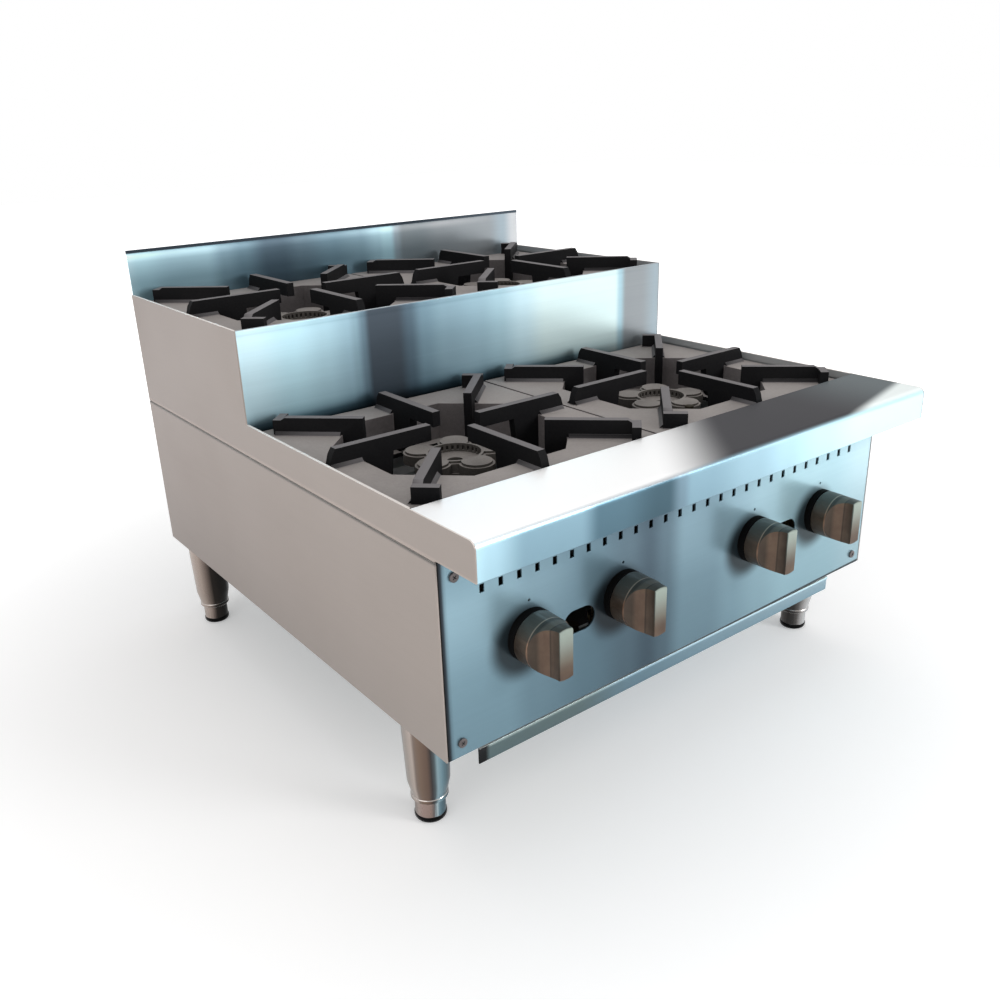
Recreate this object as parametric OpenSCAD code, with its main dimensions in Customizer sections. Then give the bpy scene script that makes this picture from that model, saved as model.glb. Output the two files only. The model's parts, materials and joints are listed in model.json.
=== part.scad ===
// Countertop gas hotplate with a stepped rear deck: four open burners, four lift-out cast grates,
// four tap knobs, a crumb tray on runners and four adjustable legs.
// Millimetres. +X is right as seen from the front, +Y is towards the back, +Z is up.
// The origin is on the floor, under the centre of the whole hotplate with its gas stub.

/* [Body] */
// Depth of the front ledge, from its lip to its back edge
ledge_d = 90; // [80:1:110]
// How far the ledge overhangs the front panel
ledge_overhang = 55; // [45:1:70]
// Room of each burner bay beyond its grate, across and in depth
bay_play = 6; // [6:0.5:20]
// Sheet thickness of the stainless body
sheet_t = 1.5; // [1.2:0.1:2]

/* [Heights] */
// Height of the body's underside above the floor
base_z = 108; // [100:1:130]
// Height of the lower side panels
lower_h = 190; // [180:1:220]
// Height of the upper side sheet's low band, from the seam to the ledge top
band_h = 36.5; // [34:0.5:50]
// How much higher the rear deck is than the front one
step_h = 97.5; // [80:0.5:120]
// Height of the backsplash above the rear deck's edge
splash_h = 53; // [40:1:80]
// Depth that the grate plates lie below the deck edge
plate_drop = 9.5; // [8:0.5:12]

/* [Ledge] */
// Height of the ledge's front lip
lip_h = 34; // [30:0.5:36]
// Outer bend radius along the ledge's front edge
ledge_r = 7; // [4:0.5:9]

/* [Grates] */
// Side of each square cast grate
grate_side = 299; // [290:1:299]
// Thickness of the grate plate
grate_t = 5; // [4:0.5:7]
// Distance of the bowl opening's straight sides from its centre
bowl_apothem = 108; // [98:1:112]
// Distance of the bowl opening's corner sides from its centre
bowl_corner = 115; // [106:1:120]
// Depth of the bowl wall below the plate
bowl_depth = 46; // [40:1:50]
// Thickness of the bowl wall
bowl_wall = 5; // [4:0.5:6]
// Inward width of the drip lip at the foot of the bowl wall
bowl_lip = 12; // [6:1:14]
// Width of a finger
finger_w = 9; // [7:0.5:11]
// Height of the finger tops above the plate
finger_rise = 18.5; // [14:0.5:24]
// Distance of the straight fingers' tips from the grate's centre
finger_tip = 30; // [24:1:40]
// Height of a straight finger at its tip
finger_tip_h = 16; // [12:1:18]
// Distance of the corner fingers' inner ends from the grate's centre
corner_tip = 92; // [86:1:98]
// Length of the toe at each corner finger's outer end
toe_l = 20; // [14:1:24]

/* [Front panel] */
// Distance of the outer knobs from the side of the body
knob_inset = 95; // [85:1:105]
// Distance of the inner knobs from the middle
knob_x_inner = 96; // [90:1:110]
// Height of the knob axes above the body's underside
knob_rise = 92; // [85:1:110]
// Number of vent slots under the ledge
vent_count = 27; // [21:2:29]
// Spacing of the vent slots
vent_pitch = 20; // [16:1:20]
// Height of the vent slots' centres above the body's underside
vent_rise = 153.5; // [145:0.5:165]
// Width of the obround lighting holes
light_w = 38; // [30:1:42]
// Height of the obround lighting holes
light_h = 24; // [16:1:26]
// Distance of the front panel's screws from the side of the body
screw_inset = 17; // [14:1:19]

/* [Knobs] */
// Radius of the knob
knob_r = 25.2; // [23:0.2:30]
// Distance of the knob's front face from the panel
knob_reach = 48.6; // [42:0.2:52]
// Width of the knob's grip bar
grip_w = 14.6; // [12:0.2:18]
// Radius of the grip bar's ends
grip_r = 24; // [20:0.5:24.5]
// Radius of the concave flanks of the grip
flank_r = 23; // [18:0.5:26]
// Distance of the flanks' floor from the panel
flank_floor = 25; // [20:0.5:30]
// Radius of a tap's stem
stem_r = 4; // [3:0.5:5]

/* [Burners] */
// Height of the burner heads' tops below the grate plates
head_drop = 17; // [14:1:22]
// Radius of the circle that the head's lobes stand on
lobe_circle = 37; // [32:1:40]
// Radius of a lobe
lobe_r = 18; // [14:0.5:19]
// Number of lobes on a burner head
lobe_count = 5; // [4:1:6]
// Thickness of a burner head
head_t = 13; // [10:0.5:16]
// Radius of the mixing tubes
mixer_r = 16; // [13:0.5:18]

/* [Gas line] */
// Outer radius of the supply pipe
pipe_r = 13.35; // [10.65:0.05:16.7]
// Height of the manifold above the body's underside
manifold_rise = 34; // [32:1:36]
// Free length of the supply stub behind the back panel
inlet_stub = 25; // [20:1:60]

/* [Legs and tray] */
// Distance of a leg's axis from the side of the body
leg_inset_x = 22.5; // [22.5:0.5:30]
// Distance of a front leg's axis from the front panel
leg_inset_front = 68; // [50:1:90]
// Distance of a rear leg's axis from the back
leg_inset_back = 60; // [50:1:90]
// Radius of a leg at its top
leg_top_r = 22.5; // [20:0.5:23]
// Radius of a leg at its lower end
leg_low_r = 17.5; // [16.5:0.5:19]
// Radius of an adjustable foot
foot_r = 15.8; // [12:0.2:16.4]
// Height of the foot below the leg
foot_h = 24; // [20:1:30]
// Radius of the foot's stud
stud_r = 6; // [5:0.5:7]
// Depth of the crumb tray
tray_h = 17; // [12:1:20]
// Gap between the body's underside and the tray's rim
tray_gap = 12; // [9:1:16]
// Distance of the tray's front lip behind the front panel
tray_setback = 12.5; // [8:0.5:20]

/* [Hidden] */
fine = 64;

// Main planes: each burner bay is a grate and its room
bay_d = grate_side + bay_play;
half_w = bay_d;
knob_x_outer = half_w - knob_inset;
inner_x = half_w - sheet_t;
overall_d = ledge_d + 2 * bay_d;
y_lip = -(overall_d + inlet_stub) / 2;
y_panel = y_lip + ledge_overhang;
y_ledge = y_lip + ledge_d;
y_riser = y_ledge + bay_d;
y_back = y_riser + bay_d;
seam_z = base_z + lower_h;
deck_z = seam_z + band_h;
rear_z = deck_z + step_h;
top_z = rear_z + splash_h;

// Hems and flanges
hem_t = 2 * sheet_t;
hem_h = 8;
flange_w = 12;
panel_flange = 18;
base_flange_w = 62;
return_w = 23;
edge_gap = 1;
seam_gap = 0.8;

// Grate seats
plate_front_z = deck_z - plate_drop;
plate_rear_z = rear_z - plate_drop;
grate_x = (half_w - hem_t) / 2;
grate_y_front = (y_ledge + y_riser) / 2;
grate_y_rear = (y_riser + hem_t + y_back - sheet_t) / 2;
seat_w = 13;
frame_t = 2;
frame_h = 20;

// Taps, from left to right, and their jets
knob_z = base_z + knob_rise;
tap_x = [-knob_x_outer, -knob_x_inner, knob_x_inner, knob_x_outer];
light_x = (knob_x_outer + knob_x_inner) / 2 - 2;
light_z = knob_z - 8;
tap_front = 12;
tap_back = 52;
tap_mid = (tap_front + tap_back) / 2;
tap_r = 14;
tap_floor = 12;
jet_r = 5;
jet_end = 72;
stem_gap = 0.05;
stem_front = 34;
stem_end_gap = 0.2;
manifold_z = base_z + manifold_rise;
fitting_t = 3;
inlet_x = half_w - 37;
manifold_half = inlet_x - pipe_r - fitting_t - 1;
pilot_z = manifold_z + pipe_r + 8;

// Burners
mixer_start = 66;
bell_r = mixer_r + 5;
rail_w = 30;
rail_h = 18;
rail_top = knob_z - mixer_r - 9;
head_front_z = plate_front_z - head_drop;
head_rear_z = plate_rear_z - head_drop;
bowl_r = 42;
bowl_h = 32;
cup_wall = 8;
neck_r = 17;
stand_r = mixer_r + 4;
elbow_r = mixer_r + 2;
weld = 2;
mixer_bend = 72;
shield_y = 100;
shield_top = plate_front_z - bowl_depth - 4;
pilot_r = 3;
pilot_gap = 16;
pilot_x = knob_x_inner + mixer_r + pilot_r + pilot_gap;

// Legs and tray
leg_x = half_w - leg_inset_x;
leg_y = [y_panel + leg_inset_front, y_back - leg_inset_back];
leg_stud_r = 8;
leg_stud_h = 16;
socket_t = 3;
tray_top = base_z - tray_gap;
tray_half = leg_x - leg_top_r - 14;
tray_rim = 9;
runner_x = tray_half + tray_rim + 1;
tray_t = 1.2;
tray_l = overall_d - ledge_overhang - tray_setback - 20;

// Shared shapes
module box_at(x0, x1, y0, y1, z0, z1) {
  translate([x0, y0, z0]) cube([x1 - x0, y1 - y0, z1 - z0]);
}

// A profile drawn in (y, z), carried along X
module along_x(x0, x1) {
  translate([x0, 0, 0]) rotate([90, 0, 90]) linear_extrude(x1 - x0) children();
}

// A profile drawn in (x, z), carried along Y
module along_y(y0, y1) {
  translate([0, y1, 0]) rotate([90, 0, 0]) linear_extrude(y1 - y0) children();
}

module rod_y(x, y0, y1, z, r) {
  translate([x, y0, z]) rotate([-90, 0, 0]) cylinder(h = y1 - y0, r = r, $fn = fine);
}

module rod_x(x0, x1, y, z, r) {
  translate([x0, y, z]) rotate([0, 90, 0]) cylinder(h = x1 - x0, r = r, $fn = fine);
}

// A straight round rod between any two points
module rod(p, q, r) {
  d = q - p;
  l = norm(d);
  translate(p) rotate([0, acos(d[2] / l), atan2(d[1], d[0])]) cylinder(h = l, r = r, $fn = 32);
}

// Round tube along points, with fuller elbows
elbow = 1.1;

module pipe_run(points, r) {
  for (i = [0 : len(points) - 2]) rod(points[i], points[i + 1], r);
  for (i = [1 : len(points) - 2]) translate(points[i]) sphere(r = r * elbow, $fn = 32);
}

module rect(x0, x1, y0, y1) {
  translate([x0, y0]) square([x1 - x0, y1 - y0]);
}

module obround(w, h) {
  translate([-(w - h) / 2, 0]) circle(d = h, $fn = fine);
  translate([(w - h) / 2, 0]) circle(d = h, $fn = fine);
  square([w - h, h], center = true);
}

// Quarter of a bent sheet's section: the bend's centre is at the origin, the bend lies in -x, +y
module bend(r, t) {
  intersection() {
    difference() {
      circle(r = r, $fn = fine);
      circle(r = r - t, $fn = fine);
    }
    translate([-r, 0]) square(r);
  }
}

// Lower side panel, drawn on the right
module lower_side() {
  difference() {
    union() {
      box_at(inner_x, half_w, y_panel, y_back, base_z, seam_z);
      box_at(half_w - base_flange_w, half_w, y_panel + hem_t, y_back - hem_t, base_z, base_z + sheet_t);
      box_at(half_w - flange_w, half_w, y_panel + hem_t, y_back - hem_t, seam_z - sheet_t, seam_z);
      box_at(half_w - return_w, half_w, y_panel + sheet_t, y_panel + hem_t, base_z, seam_z);
      box_at(half_w - return_w, half_w, y_back - hem_t, y_back - sheet_t, base_z, seam_z);
    }
    for (y = leg_y) translate([leg_x, y, base_z - 1]) cylinder(h = 4, r = leg_stud_r + 0.5, $fn = fine);
    for (z = screw_z) rod_y(half_w - screw_inset, y_panel, y_panel + 10, z, screw_r + 0.2);
    for (z = back_screw_z) rod_y(half_w - screw_inset, y_back - 10, y_back + 1, z, screw_r + 0.2);
  }
}

// Upper side sheet with the ledge's end, drawn on the right
module upper_side_outline() {
  difference() {
    union() {
      rect(y_lip, y_panel, deck_z - lip_h, deck_z);
      rect(y_panel, y_back, seam_z + seam_gap, deck_z);
      rect(y_riser, y_back, seam_z + seam_gap, rear_z);
    }
    difference() {
      rect(y_lip - 1, y_lip + ledge_r, deck_z - ledge_r, deck_z + 1);
      translate([y_lip + ledge_r, deck_z - ledge_r]) circle(r = ledge_r, $fn = fine);
    }
  }
}

module upper_side() {
  hem_x = half_w - hem_t;
  along_x(inner_x, half_w) upper_side_outline();
  box_at(hem_x, inner_x, y_ledge + 0.3, y_riser - 0.3, deck_z - hem_h, deck_z);
  box_at(hem_x, inner_x, y_riser + hem_t + 0.3, y_back - hem_t - 0.3, rear_z - hem_h, rear_z);
  box_at(half_w - flange_w, half_w - sheet_t, y_panel + 5, y_back - hem_t - 0.3, seam_z, seam_z + sheet_t);
}

// Front panel
screw_r = 2;
screw_head_r = 4.5;
screw_z = [base_z + 14, seam_z - 17];
back_screw_z = [manifold_z + 2 * pipe_r + 1.3, seam_z - 30];
vent_w = 5;
vent_h = 8;
mark_r = 1.4;
mark_rise = 33;

module front_panel_outline() {
  difference() {
    rect(-(inner_x - edge_gap), inner_x - edge_gap, base_z, seam_z - 0.3);
    for (i = [0 : vent_count - 1])
      translate([(i - (vent_count - 1) / 2) * vent_pitch, base_z + vent_rise])
        square([vent_w, vent_h], center = true);
    for (x = tap_x) {
      translate([x, knob_z]) circle(r = stem_r + 3, $fn = fine);
      translate([x, knob_z + mark_rise]) circle(r = mark_r, $fn = 24);
    }
    for (s = [-1, 1]) translate([s * light_x, light_z]) obround(light_w, light_h);
    for (s = [-1, 1], z = screw_z)
      translate([s * (half_w - screw_inset), z]) circle(r = screw_r + 0.2, $fn = 32);
  }
}

module front_panel() {
  flange_x = half_w - base_flange_w - 2;
  top_x = half_w - return_w - 2;
  color("lightsteelblue") {
    along_y(y_panel, y_panel + sheet_t) front_panel_outline();
    box_at(-flange_x, flange_x, y_panel + sheet_t, y_panel + panel_flange, base_z, base_z + sheet_t);
    box_at(-top_x, top_x, y_panel + sheet_t, y_panel + panel_flange, seam_z - 0.3 - sheet_t, seam_z - 0.3);
  }
}

// Ledge: one folded sheet with a rounded nose, a lip, a return under it and a turned-down back
ledge_back_r = 3;
ledge_back_h = 24;
ledge_return = 20;

module ledge_profile() {
  lip_z = deck_z - lip_h;
  translate([y_lip + ledge_r, deck_z - ledge_r]) bend(ledge_r, sheet_t);
  rect(y_lip, y_lip + sheet_t, lip_z, deck_z - ledge_r);
  rect(y_lip, y_lip + ledge_return, lip_z, lip_z + sheet_t);
  rect(y_lip + ledge_r, y_ledge - ledge_back_r, deck_z - sheet_t, deck_z);
  translate([y_ledge - ledge_back_r, deck_z - ledge_back_r]) mirror([1, 0]) bend(ledge_back_r, sheet_t);
  rect(y_ledge - sheet_t, y_ledge, deck_z - ledge_back_h, deck_z - ledge_back_r);
}

module front_ledge() {
  color("gainsboro") along_x(-inner_x, inner_x) ledge_profile();
}

// Riser between the two decks, with a rolled top edge and a foot flange
module riser_profile() {
  rect(y_riser, y_riser + sheet_t, seam_z + sheet_t, rear_z - sheet_t);
  rect(y_riser, y_riser + flange_w, seam_z + sheet_t, seam_z + 2 * sheet_t);
  rect(y_riser, y_riser + hem_t, rear_z - hem_h, rear_z - sheet_t);
  translate([y_riser + sheet_t, rear_z - sheet_t]) circle(r = sheet_t, $fn = fine);
}

module riser_panel() {
  color("lightsteelblue") along_x(-inner_x, inner_x) riser_profile();
}

// Backsplash with a hem folded back along its top, lapped onto the back panel
lap_z = rear_z - 32;
lap_h = 16;
splash_hem = 6;

module backsplash() {
  color("lightsteelblue") along_x(-inner_x, inner_x) {
    rect(y_back - sheet_t, y_back, lap_z, top_z);
    rect(y_back, y_back + sheet_t, top_z - splash_hem, top_z);
  }
}

// Back panel with louvre slots, the supply hole and a lap strip behind the backsplash
louvre_w = 60;
louvre_h = 5;

module back_panel_outline() {
  difference() {
    rect(-(inner_x - edge_gap), inner_x - edge_gap, base_z, lap_z);
    translate([inlet_x, manifold_z]) circle(r = pipe_r + 2, $fn = fine);
    for (i = [-3 : 3], j = [0 : 3])
      translate([i * (louvre_w + 16), seam_z - 20 - j * 14]) obround(louvre_w, louvre_h);
    for (s = [-1, 1], z = back_screw_z)
      translate([s * (half_w - screw_inset), z]) circle(r = screw_r + 0.2, $fn = 32);
  }
}

module back_panel() {
  flange_x = half_w - base_flange_w - 2;
  lap_x = inner_x - edge_gap;
  color("silver") {
    along_y(y_back - sheet_t, y_back) back_panel_outline();
    box_at(-flange_x, flange_x, y_back - panel_flange, y_back - sheet_t, base_z, base_z + sheet_t);
    box_at(-lap_x, lap_x, y_back - hem_t, y_back - sheet_t, lap_z - 12, lap_z + lap_h);
  }
}

// Frame with two square windows that carries a pair of grates on a narrow seat
module grate_frame(y0, y1, seat_z, grate_y) {
  window = grate_side - 2 * seat_w;
  difference() {
    box_at(-inner_x, inner_x, y0, y1, seat_z - frame_h, seat_z);
    box_at(-inner_x + frame_t, -frame_t / 2, y0 + frame_t, y1 - frame_t, seat_z - frame_h - 1, seat_z - frame_t);
    box_at(frame_t / 2, inner_x - frame_t, y0 + frame_t, y1 - frame_t, seat_z - frame_h - 1, seat_z - frame_t);
    for (s = [-1, 1]) translate([s * grate_x, grate_y, seat_z])
      cube([window, window, 3 * frame_t], center = true);
  }
}

module front_grate_frame() {
  color("dimgray") grate_frame(y_ledge, y_riser, plate_front_z - grate_t, grate_y_front);
}

module rear_grate_frame() {
  color("dimgray")
    grate_frame(y_riser + sheet_t, y_back - hem_t, plate_rear_z - grate_t, grate_y_rear);
}

// Channel across the body that the burners stand on
module burner_rail(y) {
  color("silver") difference() {
    box_at(-inner_x, inner_x, y - rail_w / 2, y + rail_w / 2, rail_top - rail_h, rail_top);
    box_at(-half_w, half_w, y - rail_w / 2 + 2, y + rail_w / 2 - 2, rail_top - rail_h - 1, rail_top - 2);
  }
}

// Sheet between the taps and the burners, notched over the mixing tubes and the supply pipe
module shield_outline() {
  flange_in = half_w - base_flange_w;
  difference() {
    union() {
      rect(-flange_in, flange_in, base_z + sheet_t, shield_top);
      rect(-inner_x, inner_x, rail_top, shield_top);
    }
    for (x = tap_x) {
      translate([x, knob_z]) circle(r = mixer_r + 3, $fn = fine);
      rect(x - mixer_r - 3, x + mixer_r + 3, manifold_z - 4, knob_z);
    }
    for (s = [-1, 1]) translate([s * pilot_x, pilot_z]) circle(r = pilot_r + 1.5, $fn = fine);
  }
}

module heat_shield() {
  color("silver") along_y(y_panel + shield_y, y_panel + shield_y + 1) shield_outline();
}

// Angle under the base flange that carries the tray's rim, drawn on the right
module tray_runner() {
  y0 = y_panel + tray_setback + 10;
  y1 = y_back - 20;
  box_at(runner_x, runner_x + 1.5, y0, y1, tray_top - 4, base_z);
  box_at(tray_half + 2, runner_x + 1.5, y0, y1, tray_top - 4, tray_top - tray_t - 0.3);
  box_at(half_w - base_flange_w + 1, runner_x, y0, y1, base_z - 1.5, base_z);
}

// Crumb tray: a shallow pan with a rim that slides on the runners and a hemmed front lip
module crumb_tray() {
  y0 = y_panel + tray_setback;
  y1 = y0 + tray_l;
  z0 = tray_top - tray_h;
  lip_half = leg_x - leg_top_r + 2;
  color("lightsteelblue") {
    difference() {
      box_at(-tray_half, tray_half, y0, y1, z0, tray_top);
      box_at(-tray_half + tray_t, tray_half - tray_t, y0 + tray_t, y1 - tray_t, z0 + tray_t, tray_top + 1);
    }
    for (s = [0, 1]) mirror([s, 0, 0])
      box_at(tray_half - 0.1, tray_half + tray_rim, y0, y1, tray_top - tray_t, tray_top);
    box_at(-lip_half, lip_half, y0, y0 + tray_t, z0, tray_top);
    box_at(-lip_half, lip_half, y0 - 1.2, y0 + tray_t, tray_top - 3, tray_top);
  }
}

// Manifold pipe with capped ends and a branch to the supply pipe
module gas_manifold() {
  y = y_panel + tap_mid;
  color("goldenrod") difference() {
    union() {
      rod_x(-manifold_half, manifold_half, y, manifold_z, pipe_r);
      rod_x(-manifold_half - 6, -manifold_half, y, manifold_z, pipe_r + fitting_t);
      rod_x(manifold_half - 16, manifold_half, y, manifold_z, pipe_r + fitting_t);
      for (x = tap_x) translate([x, y, manifold_z])
        cylinder(h = pipe_r + 4, r = 11, $fn = fine);
    }
    rod_x(-manifold_half + 2, manifold_half + 1, y, manifold_z, pipe_r - 3);
    for (x = tap_x) translate([x, y, manifold_z]) cylinder(h = pipe_r + 5, r = 7, $fn = fine);
  }
}

// Supply pipe: an elbow on the manifold's end and a straight run through the back panel, with a locknut
locknut_t = 5;

module gas_inlet_pipe() {
  y = y_panel + tap_mid;
  y_end = y_back + inlet_stub;
  color("darkgray") difference() {
    union() {
      rod_x(manifold_half, inlet_x, y, manifold_z, pipe_r);
      translate([inlet_x, y, manifold_z]) sphere(r = pipe_r + fitting_t, $fn = fine);
      rod_y(inlet_x, y, y + 26, manifold_z, pipe_r + fitting_t);
      rod_y(inlet_x, y, y_end, manifold_z, pipe_r);
      translate([inlet_x, y_back, manifold_z]) rotate([-90, 0, 0]) cylinder(h = locknut_t, r = pipe_r + 6, $fn = 6);
    }
    rod_y(inlet_x, y, y_end + 1, manifold_z, pipe_r - 2.9);
    rod_x(manifold_half - 1, inlet_x, y, manifold_z, pipe_r - 3);
  }
}

// Tap: a turned body with a hexagon, a leg screwed into the manifold and a bore for its stem
module tap_body(x) {
  z_leg = manifold_z + pipe_r + 4;
  color("goldenrod") difference() {
    union() {
      rod_y(x, y_panel + tap_front + 6, y_panel + tap_back - 8, knob_z, tap_r);
      rod_y(x, y_panel + tap_front, y_panel + tap_front + 6, knob_z, tap_r - 4);
      translate([x, y_panel + tap_back - 8, knob_z]) rotate([-90, 0, 0]) cylinder(h = 8, r = 11, $fn = 6);
      translate([x, y_panel + tap_mid, z_leg]) cylinder(h = knob_z - z_leg, r = 8, $fn = fine);
      translate([x, y_panel + tap_mid, z_leg]) cylinder(h = 8, r = 12, $fn = 6);
    }
    rod_y(x, y_panel + tap_front - 1, y_panel + tap_back - tap_floor, knob_z, stem_r + stem_gap);
  }
}

// Stem from inside the tap to inside the knob
module tap_stem(x) {
  color("darkgray") rod_y(x, y_panel - stem_front, y_panel + tap_back - tap_floor - stem_end_gap, knob_z, stem_r);
}

// Brass jet on the back of each tap
module gas_jets() {
  color("gold") for (x = tap_x) difference() {
    union() {
      rod_y(x, y_panel + tap_back, y_panel + jet_end, knob_z, jet_r);
      translate([x, y_panel + tap_back, knob_z]) rotate([-90, 0, 0]) cylinder(h = 6, r = 8, $fn = 6);
    }
    rod_y(x, y_panel + tap_back + 8, y_panel + jet_end + 1, knob_z, 1.5);
  }
}

// Round black base behind each knob
bezel_r = knob_r;
bezel_t = 7.5;

module knob_bezels() {
  color("darkslategray") for (x = tap_x) difference() {
    rod_y(x, y_panel - bezel_t, y_panel, knob_z, bezel_r);
    rod_y(x, y_panel - bezel_t - 1, y_panel + 1, knob_z, stem_r + 3);
  }
}

// Knob: a round body with a tall grip bar whose concave flanks sweep down into it
knob_back = bezel_t + 0.5;
knob_edge = 0.8;

module knob_solid() {
  rotate([90, 0, 0]) rotate_extrude($fn = 96) polygon([
    [0, knob_back], [knob_r - knob_edge, knob_back], [knob_r, knob_back + knob_edge],
    [grip_r + 0.5, knob_reach - 1], [grip_r - 0.5, knob_reach], [0, knob_reach]
  ]);
}

// The space beside the grip, drawn in (x, distance from the panel)
module flank_cut() {
  arc_x = grip_w / 2 + flank_r;
  arc_y = flank_floor + flank_r;
  translate([arc_x, arc_y]) circle(r = flank_r, $fn = 96);
  rect(grip_w / 2, arc_x + knob_r, arc_y, arc_y + knob_reach);
  rect(arc_x, arc_x + knob_r, flank_floor, arc_y + knob_reach);
}

module knob(x) {
  color("rosybrown") translate([x, y_panel, knob_z]) difference() {
    knob_solid();
    for (s = [0, 1]) mirror([s, 0, 0]) translate([0, 0, -knob_r - 1])
      mirror([0, 1, 0]) linear_extrude(2 * knob_r + 2) flank_cut();
    rod_y(0, -stem_front, 0, 0, stem_r + stem_gap);
  }
}

// Burner base: mixing tube with a bell mouth, a neck and a bowl, standing on its rail
module burner_base(x_tap, x, y, top_z) {
  y_mouth = y_panel + mixer_start;
  rim_z = top_z - head_t;
  color("slategray") difference() {
    union() {
      rod([x_tap, y_mouth + 8, knob_z], [x_tap, y - mixer_bend, knob_z], mixer_r);
      rod([x_tap, y - mixer_bend, knob_z], [x, y, knob_z], mixer_r);
      translate([x_tap, y - mixer_bend, knob_z - elbow_r])
        cylinder(h = 2 * elbow_r, r = elbow_r, $fn = fine);
      translate([x, y, knob_z - stand_r])
        cylinder(h = rim_z - bowl_h - knob_z + stand_r + weld, r = stand_r, $fn = fine);
      rod_y(x_tap, y_mouth, y_mouth + 14, knob_z, bell_r);
      translate([x, y, rail_top]) cylinder(h = 20, r = 9, $fn = fine);
      translate([x, y, 0]) rotate_extrude($fn = fine) polygon([
        [0, rim_z - bowl_h], [neck_r, rim_z - bowl_h],
        [bowl_r - 4, rim_z - 12], [bowl_r, rim_z - 6], [bowl_r, rim_z], [0, rim_z]
      ]);
    }
    rod_y(x_tap, y_mouth - 1, y_mouth + 26, knob_z, mixer_r - 3);
    translate([x, y, rim_z - 14]) cylinder(h = 15, r = bowl_r - cup_wall, $fn = fine);
  }
}

// Burner head: a lobed cap with a round pocket, whose wall has a ring of ports, and a spigot into the bowl
pocket_r = 27;
pocket_depth = 9;
well_r = 8;
well_depth = 6;
port_w = 2.8;
port_h = 4.6;
port_d = 3;
port_drop = 2.6;
port_count = 30;
core_wall = 2;
rim_step = 2.4;
spigot_h = 8;
spigot_gap = 0.3;
lobe_turn = 55;

module head_outline(grow) {
  circle(r = pocket_r + port_d + core_wall + grow, $fn = fine);
  for (i = [0 : lobe_count - 1]) rotate(lobe_turn + i * 360 / lobe_count)
    translate([lobe_circle, 0]) circle(r = lobe_r + grow, $fn = fine);
}

module burner_head(x, y, top_z) {
  color("dimgray") translate([x, y, top_z - head_t]) difference() {
    union() {
      linear_extrude(head_t - rim_step) head_outline(0);
      linear_extrude(head_t) head_outline(-rim_step);
      translate([0, 0, -spigot_h]) cylinder(h = spigot_h + 1, r = bowl_r - cup_wall - spigot_gap, $fn = fine);
    }
    translate([0, 0, head_t - pocket_depth]) cylinder(h = pocket_depth + 1, r = pocket_r, $fn = 96);
    translate([0, 0, head_t - pocket_depth - well_depth]) cylinder(h = well_depth + 2, r = well_r, $fn = fine);
    for (i = [0 : port_count - 1]) rotate(i * 360 / port_count)
      translate([pocket_r - 2, -port_w / 2, head_t - port_drop - port_h]) cube([port_d + 2, port_w, port_h]);
  }
}

// Pilot line: a small valve on the manifold and a tube to a pilot beside each burner
module pilot_line(s) {
  x_out = s * pilot_x;
  y = y_panel + tap_mid;
  y_pilot = grate_y_front - lobe_circle - lobe_r - 7;
  z_valve = manifold_z + pipe_r;
  color("darkgoldenrod") {
    translate([x_out, y, z_valve]) cylinder(h = 12, r = 6, $fn = fine);
    pipe_run([[x_out, y, pilot_z], [x_out, y_pilot, pilot_z], [x_out, y_pilot, head_front_z - 6]], pilot_r);
    translate([x_out, y_pilot, head_front_z - 6]) cylinder(h = 10, r = 5, $fn = fine);
  }
}

// Grate: square plate, octagonal bowl and eight fingers, in its own frame with the plate top at 0
finger_out = grate_side / 2 - 9.5;
corner_out = grate_side / sqrt(2) - 24.5;
foot_slope = 4;
foot_fillet = 4;
finger_chamfer = 6;
leg_depth = 34;
leg_rise = 12;
corner_leg = 51;
toe_drop = 2.5;

// The bowl's outline: a square with its corners cut off
module octagon(grow) {
  intersection() {
    square(2 * (bowl_apothem + grow), center = true);
    rotate(45) square(2 * (bowl_corner + grow), center = true);
  }
}

// Swollen foot where a finger meets the plate
module finger_foot(x0, x1) {
  translate([x0, 0, 0]) rotate([90, 0, 90]) linear_extrude(x1 - x0) polygon([
    [-finger_w / 2 - foot_fillet, -1], [finger_w / 2 + foot_fillet, -1],
    [finger_w / 2 + foot_fillet, 0], [finger_w / 2 + 0.2, foot_fillet],
    [-finger_w / 2 - 0.2, foot_fillet], [-finger_w / 2 - foot_fillet, 0]
  ]);
}

module straight_finger() {
  drop_r = bowl_apothem - leg_depth;
  low = finger_rise - finger_tip_h;
  finger_foot(bowl_apothem + 1, finger_out + 2);
  translate([0, finger_w / 2, 0]) rotate([90, 0, 0]) linear_extrude(finger_w) polygon([
    [finger_tip, low], [finger_tip, finger_rise], [finger_out - foot_slope, finger_rise],
    [finger_out, finger_rise - finger_chamfer], [finger_out + foot_slope, -1], [bowl_apothem + 1, -1],
    [bowl_apothem + 1, -bowl_depth + 1], [drop_r + leg_rise - 2, -bowl_depth + leg_rise],
    [drop_r + 3, -bowl_depth + 2 * leg_rise], [drop_r, low]
  ]);
}

// Corner finger in its own frame, with a toe at its outer end that points to side * y
module corner_finger(side) {
  low = finger_rise - corner_leg;
  finger_foot(bowl_corner + 1, corner_out - 2);
  translate([0, finger_w / 2, 0]) rotate([90, 0, 0]) linear_extrude(finger_w) polygon([
    [corner_tip, low], [corner_tip, finger_rise], [corner_out - finger_w - foot_slope, finger_rise],
    [corner_out - finger_w, finger_rise - toe_drop], [corner_out, finger_rise - toe_drop],
    [corner_out, -1], [bowl_corner + 1, -1], [bowl_corner + 1, low - 4]
  ]);
  scale([1, side, 1]) translate([corner_out - finger_w, 0, -1])
    cube([finger_w, toe_l, finger_rise - toe_drop + 1]);
}

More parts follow.
